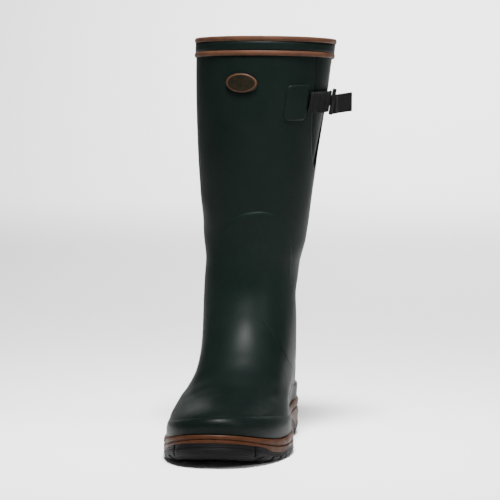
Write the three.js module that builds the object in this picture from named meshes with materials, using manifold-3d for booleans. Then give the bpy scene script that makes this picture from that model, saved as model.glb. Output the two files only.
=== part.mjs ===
// Knee-high rubber field boot for the wearer's left foot, standing empty on its sole.
// Millimetres, +Z up. The toe points along -Y and the outer side of the foot is +X.
// The origin is on the floor, under the middle of the heel.
//
// The upper is one surface. A place on it is a ring, counted from the sole up to the collar, and
// an angle round that ring: 0 at the heel, 90 at the outer side, 180 at the toe, 270 at the inner
// side. Wall, overlays, collar, gusset, strap and badge are all laid on that one surface.

import * as THREE from 'three';
import Module from 'manifold-3d';

const wasm = await Module();
wasm.setup();

// Foot and sole
const sole_length = 303;
const heel_reach = 45;
const ball_width = 118;
const waist_width = 82;
const heel_width = 82;
const heel_height = 38;
const toe_spring = 12;
const arch_height = 7;
const sole_ledge = 3;

// Ankle, shaft and collar
const instep_height = 172;
const ankle_height = 130;
const ankle_width = 91;
const ankle_depth = 102;
const collar_front_height = 399;
const collar_back_height = 390;
const collar_width = 138;
const collar_depth = 148;
const collar_lean = 15.5;

// Rubber
const upper_wall = 2.6;
const overlay_wall = 1.1;
const fit_gap = 0.3;
const overlay_gap = 0.65;

// Midsole, outsole and insole details
const groove_width = 2.4;
const groove_depth = 1.3;
const heel_rib_reach = 1.6;
const tread_depth = 4.5;
const tread_gap = 5;
const tread_pitch = 15;
const bumper_slot_width = 2;
const insole_thickness = 3.5;

// Overlays
const kick_band_height = 15;
const kick_band_reach = 2.2;

// Collar trim
const trim_height = 5;
const trim_reach = 1.5;
const band_height = 8.5;
const band_reach = 0.6;

// Slit, gusset and strap at the outer side
const slit_length = 128;
const slit_width_front = 33;
const slit_width_back = 25;
const gusset_wall = 1.8;
const strap_drop_front = 65;
const strap_drop_rear = 58;
const strap_width = 20;
const strap_thickness = 1.6;
const tab_wall = 1.8;
const tab_height = 35;
const buckle_height = 26;
const buckle_length = 20;
const buckle_bar = 3;
const buckle_thickness = 3.4;
const tail_length = 27;

// Badge
const badge_drop = 46;
const badge_width = 34;
const badge_height = 19;
const badge_thickness = 1.4;
const badge_tilt = 8;

// Share of the centreline's swing at each sixth of the way from heel to toe
const swing_stations = [0, 0, 0.018, -0.022, -0.042, -0.046];

// Sole, from the heel's rear edge to the toe. Arch and spring are shares of arch_height and
// toe_spring, and lift the floor line. Joint, groove and top are shares of heel_height: joint is
// the line between outsole and midsole, groove lies that far under the top.
const sole_rows = [
  { along: 0.0, arch: 0, spring: 0, groove: 0.33, top: 1.0 },
  { along: 0.18, arch: 0, spring: 0, groove: 0.24, top: 0.985 },
  { along: 0.215, arch: 0, spring: 0, groove: 0.22, top: 0.965 },
  { along: 0.24, arch: 0.9, spring: 0, groove: 0.2, top: 0.945 },
  { along: 0.3, arch: 1, spring: 0, groove: 0.18, top: 0.9 },
  { along: 0.42, arch: 0.8, spring: 0, groove: 0.17, top: 0.74 },
  { along: 0.5, arch: 0.3, spring: 0, groove: 0.17, top: 0.63 },
  { along: 0.57, arch: 0, spring: 0, groove: 0.17, top: 0.55 },
  { along: 0.66, arch: 0, spring: 0, groove: 0.17, top: 0.52 },
  { along: 0.74, arch: 0, spring: 0, groove: 0.165, top: 0.525 },
  { along: 0.8, arch: 0, spring: 0.08, groove: 0.16, top: 0.54 },
  { along: 0.9, arch: 0, spring: 0.42, groove: 0.13, top: 0.57 },
  { along: 1.0, arch: 0, spring: 1, groove: 0.105, top: 0.58 },
];

// The same joint line with its corners: a tooth at the heel, a dip at each side of the toe
const joint_rows = [
  { along: 0.0, joint: 0.3 },
  { along: 0.18, joint: 0.5 },
  { along: 0.23, joint: 0.25 },
  { along: 0.28, joint: 0.52 },
  { along: 0.33, joint: 0.55 },
  { along: 0.42, joint: 0.44 },
  { along: 0.55, joint: 0.26 },
  { along: 0.735, joint: 0.25 },
  { along: 0.755, joint: 0.19 },
  { along: 0.845, joint: 0.21 },
  { along: 0.862, joint: 0.32 },
  { along: 0.9, joint: 0.355 },
  { along: 1.0, joint: 0.37 },
];

// Foot part of the upper, ring by ring from the sole to the ankle. Along is a share of
// sole_length from the heel's rear edge, up is a share of the way to instep or ankle height.
// Back and heel are shares of heel_width, waist of waist_width, ball, toe and tip of ball_width:
// the six give the fullness round each ring. Inner is how much fuller the inner side is, and hug
// is how far the ring follows the sole's top.
const foot_rows = [
  { front_along: 0.975, front_up: 0, back_along: 0.01, back_up: 0, hug: 1,
    back: 0.89, heel: 0.8, waist: 0.512, ball: 0.513, toe: 0.6, tip: 0.737, inner: 0.0 },
  { front_along: 0.9835, front_up: 0.056, back_along: 0.008, back_up: 0.03, hug: 0.75,
    back: 0.89, heel: 0.8, waist: 0.524, ball: 0.508, toe: 0.576, tip: 0.712, inner: 0.035 },
  { front_along: 0.97, front_up: 0.11, back_along: 0.0066, back_up: 0.062, hug: 0.5,
    back: 0.89, heel: 0.8, waist: 0.543, ball: 0.487, toe: 0.517, tip: 0.593, inner: 0.07 },
  { front_along: 0.9406, front_up: 0.143, back_along: 0.0053, back_up: 0.095, hug: 0.3,
    back: 0.878, heel: 0.793, waist: 0.555, ball: 0.453, toe: 0.432, tip: 0.458, inner: 0.1 },
  { front_along: 0.888, front_up: 0.165, back_along: 0.0046, back_up: 0.128, hug: 0.15,
    back: 0.854, heel: 0.774, waist: 0.567, ball: 0.428, toe: 0.364, tip: 0.356, inner: 0.115 },
  { front_along: 0.8086, front_up: 0.176, back_along: 0.0046, back_up: 0.171, hug: 0.05,
    back: 0.817, heel: 0.744, waist: 0.573, ball: 0.411, toe: 0.381, tip: 0.322, inner: 0.115 },
  { front_along: 0.7096, front_up: 0.208, back_along: 0.0053, back_up: 0.226, hug: 0,
    back: 0.756, heel: 0.707, waist: 0.583, ball: 0.403, toe: 0.449, tip: 0.39, inner: 0.1 },
  { front_along: 0.6205, front_up: 0.277, back_along: 0.0066, back_up: 0.291, hug: 0,
    back: 0.713, heel: 0.671, waist: 0.583, ball: 0.394, toe: 0.458, tip: 0.424, inner: 0.06 },
  { front_along: 0.5446, front_up: 0.375, back_along: 0.01, back_up: 0.378, hug: 0,
    back: 0.671, heel: 0.628, waist: 0.583, ball: 0.39, toe: 0.441, tip: 0.449, inner: 0.03 },
  { front_along: 0.4818, front_up: 0.499, back_along: 0.018, back_up: 0.487, hug: 0,
    back: 0.622, heel: 0.598, waist: 0.579, ball: 0.39, toe: 0.419, tip: 0.449, inner: 0.01 },
  { front_along: 0.4323, front_up: 0.651, back_along: 0.03, back_up: 0.618, hug: 0,
    back: 0.585, heel: 0.579, waist: 0.573, ball: 0.394, toe: 0.407, tip: 0.432, inner: 0 },
  { front_along: 0.401, front_up: 0.826, back_along: 0.043, back_up: 0.793, hug: 0,
    back: 0.567, heel: 0.567, waist: 0.567, ball: 0.394, toe: 0.398, tip: 0.407, inner: 0 },
];

// Shaft, from the ankle to the collar. Up is a share of the way from ankle to collar, width and
// depth run from ankle size, 0, to collar size, 1, and lean is a share of collar_lean.
const shaft_rows = [
  { up: 0, width: 0, depth: 0, lean: 0 },
  { up: 0.11, width: 0.085, depth: 0, lean: 0.2 },
  { up: 0.238, width: 0.3, depth: 0.19, lean: 0.34 },
  { up: 0.396, width: 0.47, depth: 0.47, lean: 0.4 },
  { up: 0.586, width: 0.64, depth: 0.78, lean: 0.52 },
  { up: 0.793, width: 0.87, depth: 0.955, lean: 0.77 },
  { up: 1, width: 1, depth: 1, lean: 1 },
];

// Distance of the shaft's axis in front of the heel's rear edge, as a share of sole_length
const shaft_along_ankle = 0.2203;
const shaft_along_collar = 0.2095;

// Overlays: their lower and upper ring at each angle round the boot
const counter_rows = [
  { angle: -92, low: 0.05, high: 7.2 },
  { angle: -82, low: 0.05, high: 9 },
  { angle: -66, low: 0.05, high: 10 },
  { angle: -42, low: 0.05, high: 11 },
  { angle: -14, low: 0.05, high: 11.6 },
  { angle: 14, low: 0.05, high: 11.5 },
  { angle: 30, low: 0.05, high: 10.8 },
  { angle: 50, low: 0.05, high: 9 },
  { angle: 62, low: 0.05, high: 7.7 },
  { angle: 72, low: 0.05, high: 6.2 },
  { angle: 82, low: 0.05, high: 3.4 },
];

const saddle_rows = [
  { angle: 78, low: 6.5, high: 7.1 },
  { angle: 95, low: 7.2, high: 9.8 },
  { angle: 110, low: 7.85, high: 12.1 },
  { angle: 122, low: 8.4, high: 13.3 },
  { angle: 130, low: 8.76, high: 13.7 },
  { angle: 143, low: 9.4, high: 14.03 },
  { angle: 160, low: 9.9, high: 14.1 },
  { angle: 176, low: 10.1, high: 14.05 },
  { angle: 195, low: 10.1, high: 13.9 },
  { angle: 210, low: 9.9, high: 13.66 },
  { angle: 225, low: 9.6, high: 13.2 },
  { angle: 235, low: 9.4, high: 12.6 },
  { angle: 245, low: 9.25, high: 11.6 },
  { angle: 260, low: 9.1, high: 9.6 },
];

const rand_rows = [
  { angle: 92, low: 0.05, high: 1.6 },
  { angle: 108, low: 0.05, high: 2 },
  { angle: 128, low: 0.05, high: 2.45 },
  { angle: 162, low: 0.05, high: 2.56 },
  { angle: 180, low: 0.05, high: 2.4 },
  { angle: 200, low: 0.05, high: 2.15 },
  { angle: 225, low: 0.05, high: 1.85 },
  { angle: 250, low: 0.05, high: 1.6 },
  { angle: 264, low: 0.05, high: 1.5 },
];

const full_turn = 2 * Math.PI;
const mix = THREE.MathUtils.lerp;
const radians = THREE.MathUtils.degToRad;
const clamp = THREE.MathUtils.clamp;

// Curve through evenly spaced values, where value(i) is the i-th of them
function spline(value, place, last) {
  const i = clamp(Math.floor(place), 0, last - 1);
  const t = place - i;
  const [a, b, c, d] = [value(i - 1), value(i), value(i + 1), value(i + 2)];
  const bend = 2 * a - 5 * b + 4 * c - d;
  const twist = 3 * (b - c) + d - a;
  return b + (t * (c - a) + t * t * bend + t * t * t * twist) / 2;
}

// Column of a table at a place between two rows, on a smooth curve that doesn't overshoot
function smooth_column(rows, key, column, place) {
  const last = rows.length - 1;
  const at = clamp(place, rows[0][key], rows[last][key]);
  let i = 0;
  while (i < last - 1 && rows[i + 1][key] < at) i += 1;
  const run = (j) => rows[j + 1][key] - rows[j][key];
  const slope = (j) => (rows[j + 1][column] - rows[j][column]) / run(j);
  const tangent = (j) => {
    if (j === 0) return slope(0);
    if (j === last) return slope(last - 1);
    const product = slope(j - 1) * slope(j);
    return product <= 0 ? 0 : 2 * product / (slope(j - 1) + slope(j));
  };
  const t = (at - rows[i][key]) / run(i);
  const low = rows[i][column] * (1 + 2 * t) + tangent(i) * run(i) * t;
  const high = rows[i + 1][column] * (3 - 2 * t) - tangent(i + 1) * run(i) * (1 - t);
  return low * (1 - t) ** 2 + high * t ** 2;
}

// Column of a table with sharp corners at its rows
function straight_column(rows, key, column, place) {
  const last = rows.length - 1;
  const at = clamp(place, rows[0][key], rows[last][key]);
  let i = 0;
  while (i < last - 1 && rows[i + 1][key] < at) i += 1;
  const t = (at - rows[i][key]) / (rows[i + 1][key] - rows[i][key]);
  return mix(rows[i][column], rows[i + 1][column], t);
}

// Heights of the sole's faces at a place along the foot
const share_along = (y) => (heel_reach - y) / sole_length;
const spring_level = (y) => toe_spring * smooth_column(sole_rows, 'along', 'spring', share_along(y));
const arch_level = (y) => arch_height * smooth_column(sole_rows, 'along', 'arch', share_along(y));
const floor_level = (y) => spring_level(y) + arch_level(y);

function joint_level(y) {
  return spring_level(y) + heel_height * straight_column(joint_rows, 'along', 'joint', share_along(y));
}

function top_level(y) {
  return spring_level(y) + heel_height * smooth_column(sole_rows, 'along', 'top', share_along(y));
}

function groove_level(y) {
  return top_level(y) - heel_height * smooth_column(sole_rows, 'along', 'groove', share_along(y));
}

// Rings of the upper in millimetres
function foot_ring(row) {
  const front_y = heel_reach - row.front_along * sole_length;
  const back_y = heel_reach - row.back_along * sole_length;
  const toe_z = top_level(heel_reach - foot_rows[0].front_along * sole_length) + fit_gap;
  const heel_z = top_level(heel_reach - foot_rows[0].back_along * sole_length) + fit_gap;
  return {
    front_y,
    front_z: mix(toe_z, instep_height, row.front_up),
    back_y,
    back_z: mix(heel_z, ankle_height, row.back_up),
    hug: row.hug,
    inner: row.inner,
    lean: 0,
    back: row.back * heel_width,
    heel: row.heel * heel_width,
    waist: row.waist * waist_width,
    ball: row.ball * ball_width,
    toe: row.toe * ball_width,
    tip: row.tip * ball_width,
  };
}

function shaft_ring(row) {
  const half_width = mix(ankle_width, collar_width, row.width) / 2;
  const half_depth = mix(ankle_depth, collar_depth, row.depth) / 2;
  const axis_y = heel_reach - sole_length * mix(shaft_along_ankle, shaft_along_collar, row.up);
  return {
    front_y: axis_y - half_depth,
    front_z: mix(instep_height, collar_front_height, row.up),
    back_y: axis_y + half_depth,
    back_z: mix(ankle_height, collar_back_height, row.up),
    hug: 0,
    inner: 0,
    lean: row.lean * collar_lean,
    back: half_width,
    heel: half_width,
    waist: half_width,
    ball: half_width,
    toe: half_width,
    tip: half_width,
  };
}

const rings = [...foot_rows.map(foot_ring), ...shaft_rows.map(shaft_ring)];
const top_ring = rings.length - 1;
const stations = ['back', 'heel', 'waist', 'ball', 'toe', 'tip'];
const last_station = stations.length - 1;

const ring_value = (column, ring) => spline((i) => rings[clamp(i, 0, top_ring)][column], ring, top_ring);

// Value between the six stations, mirrored at heel and toe so that the ends are round
function station_value(values, turn) {
  const fold = (i) => (i < 0 ? -i : i > last_station ? 2 * last_station - i : i);
  return spline((i) => values[fold(i)], turn / Math.PI * last_station, last_station);
}

// Point of the upper's outer face
function upper_point(ring, angle) {
  const turn = THREE.MathUtils.euclideanModulo(angle, full_turn);
  const side = turn < Math.PI ? 1 : -1;
  const half_turn = side > 0 ? turn : full_turn - turn;
  const forward = (1 - Math.cos(half_turn)) / 2;
  const hug = ring_value('hug', ring);
  const y = mix(ring_value('back_y', ring), ring_value('front_y', ring), forward);
  const level = mix(ring_value('back_z', ring), ring_value('front_z', ring), forward);
  const sole_line = mix(rings[0].back_z, rings[0].front_z, forward);
  const inner = side < 0 ? ring_value('inner', ring) * Math.sin(half_turn) ** 2 : 0;
  const fullness = (1 + inner) * station_value(stations.map((name) => ring_value(name, ring)), half_turn);
  const swing = hug * ball_width * station_value(swing_stations, half_turn);
  return new THREE.Vector3(
    ring_value('lean', ring) + swing + side * Math.sin(half_turn) * fullness,
    y,
    level + hug * (top_level(y) + fit_gap - sole_line),
  );
}

// Outward direction of the upper's face, from its slopes
function upper_normal(ring, angle) {
  const step = 0.01;
  const up = upper_point(Math.min(ring + step, top_ring), angle);
  up.sub(upper_point(Math.max(ring - step, 0), angle));
  const round = upper_point(ring, angle + step).sub(upper_point(ring, angle - step));
  return up.cross(round).normalize();
}

// Point at a distance outside the upper's face, or inside where the distance is negative
function skin_point(ring, angle, distance) {
  return upper_point(ring, angle).addScaledVector(upper_normal(ring, angle), distance);
}

// Ring that passes a given height at a given angle
function ring_at_height(height, angle) {
  let low = 0;
  let high = top_ring;
  for (let i = 0; i < 30; i += 1) {
    const middle = (low + high) / 2;
    if (upper_point(middle, angle).z < height) low = middle;
    else high = middle;
  }
  return (low + high) / 2;
}

// Ring that lies a given distance under the collar's edge
const ring_under_collar = (drop, angle) => ring_at_height(upper_point(top_ring, angle).z - drop, angle);

function geometry_from(points, triangles) {
  const geometry = new THREE.BufferGeometry().setFromPoints(points);
  geometry.setIndex(triangles);
  return geometry;
}

// Closed wall between two sheets of rows and columns. Where a row is joined, its last column
// is its first one, so the wall is a closed ring there and open between joined and other rows.
function wall_solid(row_count, column_count, outer, inner, joined = () => false) {
  const points = [];
  const numbers = [];
  for (const sheet of [outer, inner]) {
    const grid = [];
    for (let i = 0; i < row_count; i += 1) {
      grid.push([]);
      for (let j = 0; j < column_count; j += 1) {
        const repeats = joined(i) && j === column_count - 1;
        grid[i].push(repeats ? grid[i][0] : points.push(sheet(i, j)) - 1);
      }
    }
    numbers.push(grid);
  }
  const [out, inn] = numbers;
  const triangles = [];
  const quad = (a, b, c, d) => triangles.push(a, b, c, a, c, d);
  const last_row = row_count - 1;
  const last_column = column_count - 1;
  for (let j = 0; j < last_column; j += 1) {
    for (let i = 0; i < last_row; i += 1) {
      quad(out[i][j], out[i + 1][j], out[i + 1][j + 1], out[i][j + 1]);
      quad(inn[i][j], inn[i][j + 1], inn[i + 1][j + 1], inn[i + 1][j]);
    }
    quad(out[0][j], out[0][j + 1], inn[0][j + 1], inn[0][j]);
    quad(out[last_row][j + 1], out[last_row][j], inn[last_row][j], inn[last_row][j + 1]);
  }
  for (let i = 0; i < last_row; i += 1) {
    if (joined(i) && joined(i + 1)) continue;
    quad(out[i + 1][0], out[i][0], inn[i][0], inn[i + 1][0]);
    quad(out[i][last_column], out[i + 1][last_column], inn[i + 1][last_column], inn[i][last_column]);
  }
  return geometry_from(points, triangles);
}

// Closed solid from outlines stacked upwards. Each outline runs from the heel round the outer
// side to the toe and back along the inner side, and both ends are closed by strips across it.
function stacked_solid(outlines) {
  const count = outlines[0].length;
  const half = count / 2;
  const triangles = [];
  const number = (level, j) => level * count + (j + count) % count;
  for (let level = 0; level < outlines.length - 1; level += 1) {
    for (let j = 0; j < count; j += 1) {
      const [a, b] = [number(level, j), number(level, j + 1)];
      const [d, c] = [number(level + 1, j), number(level + 1, j + 1)];
      triangles.push(a, d, c, a, c, b);
    }
  }
  const top = outlines.length - 1;
  for (let j = 0; j < half; j += 1) {
    const strip = (level) => [j, j + 1, -j - 1, -j].map((k) => number(level, k));
    const [a, b, c, d] = strip(0);
    const [e, f, g, h] = strip(top);
    if (j < half - 1) triangles.push(a, b, c, e, g, f);
    if (j > 0) triangles.push(a, c, d, e, h, g);
  }
  return geometry_from(outlines.flat(), triangles);
}

// Closed disc from two sheets of rings, with one middle point on each face
function disc_solid(ring_count, segment_count, front, back) {
  const points = [front(0, 0), back(0, 0)];
  const triangles = [];
  const number = (face, i, j) => 2 + (face * ring_count + i) * segment_count + j % segment_count;
  for (const face of [front, back]) {
    for (let i = 1; i <= ring_count; i += 1) {
      for (let j = 0; j < segment_count; j += 1) points.push(face(i / ring_count, j / segment_count));
    }
  }
  for (let j = 0; j < segment_count; j += 1) {
    triangles.push(0, number(0, 0, j), number(0, 0, j + 1));
    triangles.push(1, number(1, 0, j + 1), number(1, 0, j));
    for (let i = 0; i < ring_count - 1; i += 1) {
      const [a, b] = [number(0, i, j), number(0, i, j + 1)];
      const [c, d] = [number(0, i + 1, j + 1), number(0, i + 1, j)];
      const [e, f] = [number(1, i, j), number(1, i, j + 1)];
      const [g, h] = [number(1, i + 1, j + 1), number(1, i + 1, j)];
      triangles.push(a, d, c, a, c, b, e, f, g, e, g, h);
    }
    const [a, b] = [number(0, ring_count - 1, j), number(0, ring_count - 1, j + 1)];
    const [c, d] = [number(1, ring_count - 1, j + 1), number(1, ring_count - 1, j)];
    triangles.push(a, d, c, a, c, b);
  }
  return geometry_from(points, triangles);
}

function to_manifold(geometry) {
  return new wasm.Manifold(new wasm.Mesh({
    numProp: 3,
    vertProperties: new Float32Array(geometry.attributes.position.array),
    triVerts: new Uint32Array(geometry.index.array),
  }));
}

function from_manifold(solid) {
  const mesh = solid.getMesh();
  const geometry = new THREE.BufferGeometry();
  geometry.setAttribute('position', new THREE.BufferAttribute(mesh.vertProperties, 3));
  geometry.setIndex(new THREE.BufferAttribute(mesh.triVerts, 1));
  return geometry;
}

// Box as a closed mesh with shared corners, turned about Z and placed by its middle
function block(width, length, height, middle, turn = 0) {
  const corners = [-1, 1].flatMap((z) => [[-1, -1], [1, -1], [1, 1], [-1, 1]].map(
    ([x, y]) => new THREE.Vector3(x * width / 2, y * length / 2, z * height / 2),
  ));
  const faces = [0, 2, 1, 0, 3, 2, 4, 5, 6, 4, 6, 7];
  for (let i = 0; i < 4; i += 1) {
    const next = (i + 1) % 4;
    faces.push(i, next, next + 4, i, next + 4, i + 4);
  }
  const geometry = geometry_from(corners, faces);
  geometry.rotateZ(turn);
  geometry.translate(middle.x, middle.y, middle.z);
  return to_manifold(geometry);
}

// Sole outline: the foot of the upper, pushed out or in. Angles are even, with one more at each
// corner of the joint line.
const angle_along = (along) => {
  const forward = (along - foot_rows[0].back_along) / (foot_rows[0].front_along - foot_rows[0].back_along);
  return Math.acos(clamp(1 - 2 * forward, -1, 1));
};

function side_angles(even_count, corners) {
  const step = Math.PI / even_count;
  const even = Array.from({ length: even_count + 1 }, (_, i) => i * step);
  const near_corner = (angle) => corners.some((corner) => Math.abs(corner - angle) < step * 0.45);
  const kept = even.filter((angle, i) => i === 0 || i === even_count || !near_corner(angle));
  return [...kept, ...corners].sort((a, b) => a - b);
}

const joint_corners = joint_rows.slice(1, -1).map((row) => angle_along(row.along));
const breast_corners = [0.215, 0.24].map(angle_along);
const sole_angles = side_angles(28, [...joint_corners, ...breast_corners]);

// Sole points at an outset from the upper's foot, at the height that level gives
function sole_outline(angles, outset, level) {
  const mirrored = angles.slice(1, -1).reverse().map((angle) => full_turn - angle);
  return [...angles, ...mirrored].map((angle) => {
    const step = 0.01;
    const point = upper_point(0, angle);
    const ahead = upper_point(0, angle + step).sub(upper_point(0, angle - step));
    const outward = new THREE.Vector3(-ahead.y, ahead.x, 0).normalize();
    const reach = typeof outset === 'function' ? outset(angle) : outset;
    point.addScaledVector(outward, reach);
    point.z = level(point.y);
    return point;
  });
}

// How much of the way round the toe or the heel an angle lies: 1 at its middle, 0 at the waist
const toe_share = (angle) => THREE.MathUtils.smoothstep(-Math.cos(angle), 0.5, 0.95);
const heel_share = (angle) => THREE.MathUtils.smoothstep(Math.cos(angle), 0.45, 0.95);

function make_outsole() {
  const height_at = (share) => (y) => mix(floor_level(y), joint_level(y), share);
  const outlines = [
    sole_outline(sole_angles, (angle) => sole_ledge - 3 - 2 * toe_share(angle), height_at(0)),
    sole_outline(sole_angles, (angle) => sole_ledge - 1 + 0.4 * toe_share(angle), height_at(0.25)),
    sole_outline(sole_angles, (angle) => sole_ledge + 0.8 * toe_share(angle), height_at(0.5)),
    sole_outline(sole_angles, (angle) => sole_ledge + 0.8 * toe_share(angle), height_at(0.64)),
    sole_outline(sole_angles, (angle) => sole_ledge - 0.3 - 0.3 * toe_share(angle), height_at(0.7)),
    sole_outline(sole_angles, () => sole_ledge - 0.3, height_at(1)),
  ];
  let solid = to_manifold(stacked_solid(outlines));
  for (const cut of tread_cuts()) solid = solid.subtract(cut);
  return from_manifold(solid);
}

// Grooves between the lugs: chevrons under the forefoot, straight bars under the heel, and one
// upright slot at each side of the toe bumper
function tread_cuts() {
  const cuts = [];
  const cut_height = 20;
  const half_width = ball_width * 0.62;
  const chevron_turn = radians(16);
  const forefoot_start = 0.53;
  const forefoot_end = 0.97;
  const count = Math.floor((forefoot_end - forefoot_start) * sole_length / tread_pitch);
  for (let i = 0; i <= count; i += 1) {
    const y = heel_reach - sole_length * forefoot_start - i * tread_pitch;
    for (const side of [-1, 1]) {
      const outer_y = y + half_width / 2 * Math.tan(chevron_turn);
      const z = floor_level(outer_y) + tread_depth - cut_height / 2;
      const middle = new THREE.Vector3(side * (half_width / 2 + tread_gap / 2), outer_y, z);
      cuts.push(block(half_width, tread_gap, cut_height, middle, side * chevron_turn));
    }
  }
  for (const y of [-1.5, -0.5, 0.5, 1.5].map((i) => i * tread_pitch)) {
    const z = tread_depth - cut_height / 2;
    for (const side of [-1, 1]) {
      const middle = new THREE.Vector3(side * heel_width * 0.38, y + tread_gap, z);
      cuts.push(block(heel_width * 0.5, tread_gap, cut_height, middle));
    }
  }
  for (const side of [-1, 1]) {
    const angle = angle_along(0.915);
    const foot = upper_point(0, side * angle);
    const middle = new THREE.Vector3(foot.x + side * sole_ledge, foot.y - sole_ledge, toe_spring);
    cuts.push(block(bumper_slot_width, 6, 4 * toe_spring, middle, side * radians(35)));
  }
  return cuts;
}

function make_midsole() {
  const half_groove = groove_width / 2;
  const rib = (angle) => heel_rib_reach * heel_share(angle);
  const even = () => sole_ledge;
  const ribbed = (angle) => sole_ledge + rib(angle);
  const outlines = [
    sole_outline(sole_angles, even, (y) => joint_level(y) + fit_gap),
    sole_outline(sole_angles, ribbed, (y) => mix(joint_level(y) + fit_gap, groove_level(y) - half_groove, 0.5)),
    sole_outline(sole_angles, even, (y) => groove_level(y) - half_groove),
    sole_outline(sole_angles, sole_ledge - groove_depth, groove_level),
    sole_outline(sole_angles, even, (y) => groove_level(y) + half_groove),
    sole_outline(sole_angles, ribbed, (y) => mix(groove_level(y) + half_groove, top_level(y), 0.6)),
    sole_outline(sole_angles, () => sole_ledge - 0.8, top_level),
  ];
  return stacked_solid(outlines);
}

function make_insole() {
  const angles = side_angles(20, []);
  const inset = -(upper_wall + fit_gap + 1.2);
  return stacked_solid([
    sole_outline(angles, inset, (y) => top_level(y) + fit_gap),
    sole_outline(angles, inset, (y) => top_level(y) + fit_gap + insole_thickness),
  ]);
}

// Slit of the upper: its foot and its two edges, in degrees round the shaft
const slit_angle = radians(95);
const slit_rounding = 0.42;
const slit_ring = ring_under_collar(slit_length, slit_angle);

function slit_edges(ring) {
  const opening = clamp((ring - slit_ring) / (top_ring - slit_ring), 0, 1) ** slit_rounding;
  return {
    front: slit_angle + radians(slit_width_front) * opening,
    back: slit_angle - radians(slit_width_back) * opening,
  };
}

// Columns of the upper's faces, even below the slit, and its rows: close over foot and instep,
// wider apart up the shaft
const upper_columns = 38;
const column_step = full_turn / upper_columns;
const foot_ring_count = foot_rows.length;
const upper_rows = [
  ...Array.from({ length: 16 }, (_, i) => i / 2),
  ...Array.from({ length: 6 }, (_, i) => mix(8, foot_ring_count, i / 6)),
  ...[0, 0.25, 0.5, 0.75, 1].map((share) => mix(foot_ring_count, slit_ring, share)),
  ...[0.1, 0.35, 0.65, 1].map((share) => mix(slit_ring, top_ring, share)),
];

function make_upper() {
  const last_row = upper_rows.length - 1;
  const angle_of = (i, j) => {
    const edges = slit_edges(upper_rows[i]);
    return mix(edges.front, edges.back + full_turn, j / upper_columns);
  };
  const outer = (i, j) => upper_point(upper_rows[i], angle_of(i, j));
  const inner = (i, j) => {
    const point = skin_point(upper_rows[i], angle_of(i, j), -upper_wall);
    if (i === 0) point.z = top_level(point.y) + fit_gap;
    if (i === last_row) point.z = outer(i, j).z;
    return point;
  };
  return wall_solid(last_row + 1, upper_columns + 1, outer, inner, (i) => upper_rows[i] <= slit_ring);
}

// Wall laid on the upper: place(i, j) gives its ring and angle, reach its thickness there
function laid_wall(row_count, column_count, place, base, reach) {
  const point = (i, j, lift) => {
    const { ring, angle } = place(i, j);
    const spot = skin_point(ring, angle, lift(ring, angle));
    spot.z = Math.max(spot.z, top_level(spot.y) + fit_gap);
    return spot;
  };
  return wall_solid(
    row_count,
    column_count,
    (i, j) => point(i, j, (ring, angle) => base + reach(ring, angle)),
    (i, j) => point(i, j, () => base),
  );
}

// Overlay between the lower and upper rings of a table, on the upper's own columns
function make_overlay(table, row_count, reach = () => overlay_wall) {
  const [start, end] = [table[0].angle, table.at(-1).angle].map(radians);
  const first = Math.ceil((start - slit_angle) / column_step);
  const last = Math.floor((end - slit_angle) / column_step);
  const place = (i, j) => {
    const angle = slit_angle + (first + j) * column_step;
    const degrees = THREE.MathUtils.radToDeg(angle);
    const low = smooth_column(table, 'angle', 'low', degrees);
    const high = smooth_column(table, 'angle', 'high', degrees);
    return { angle, ring: mix(low, high, i / (row_count - 1)) };
  };
  return laid_wall(row_count, last - first + 1, place, overlay_gap, reach);
}

// Heel counter: its lowest part is the kick band, which stands further out
function make_heel_counter() {
  const band_top = ring_at_height(heel_height + kick_band_height, 0);
  return make_overlay(counter_rows, 11, (ring) => {
    const band = 1 - THREE.MathUtils.smoothstep(ring, band_top, band_top + 0.5);
    return overlay_wall + kick_band_reach * band;
  });
}

const make_ankle_saddle = () => make_overlay(saddle_rows, 8);
const make_toe_rand = () => make_overlay(rand_rows, 6);

// Band round the collar between two distances under its edge. The profile's rows give the share
// of its height and of its reach.
function collar_ring(drop_low, drop_high, reach, profile) {
  const columns = 37;
  const angle = (j) => full_turn * j / (columns - 1);
  const ring = (share, j) => {
    const drop = mix(drop_low, drop_high, share);
    return drop <= 0 ? top_ring : ring_under_collar(drop, angle(j));
  };
  return wall_solid(
    profile.length,
    columns,
    (i, j) => skin_point(ring(profile[i].height, j), angle(j), fit_gap + reach * profile[i].reach),
    (i, j) => skin_point(ring(profile[i].height, j), angle(j), fit_gap),
    () => true,
  );
}

const bead_profile = [
  { height: 0, reach: 0.45 },
  { height: 0.3, reach: 1 },
  { height: 0.7, reach: 1 },
  { height: 1, reach: 0.45 },
];

const band_profile = [
  { height: 0, reach: 1 },
  { height: 1, reach: 1 },
];

const make_trim_upper = () => collar_ring(trim_height, 0, trim_reach, bead_profile);

function make_collar_band() {
  const top = trim_height + fit_gap;
  return collar_ring(top + band_height, top, band_reach, band_profile);
}

function make_trim_lower() {
  const top = trim_height + band_height + 2 * fit_gap;
  return collar_ring(top + trim_height, top, trim_reach, bead_profile);
}

// Gusset: a panel inside the slit that bows out between the slit's edges
function make_gusset() {
  const lap = radians(8);
  const bow = radians(9);
  const columns = 14;
  const inside = -(upper_wall + fit_gap + overlay_gap);
  const rows = [slit_ring - 0.28, ...upper_rows.filter((ring) => ring >= slit_ring && ring < top_ring)];
  rows.push(top_ring - 0.03);
  const point = (i, j, depth) => {
    const edges = slit_edges(rows[i]);
    const angle = mix(edges.back - lap, edges.front + lap, j / columns);
    const clear = Math.min(edges.front - angle, angle - edges.back);
    const lift = upper_wall * THREE.MathUtils.smoothstep(clear, radians(1.5), bow);
    return skin_point(rows[i], angle, inside + lift - depth);
  };
  return wall_solid(
    rows.length,
    columns + 1,
    (i, j) => point(i, j, 0),
    (i, j) => point(i, j, gusset_wall),
  );
}

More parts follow.
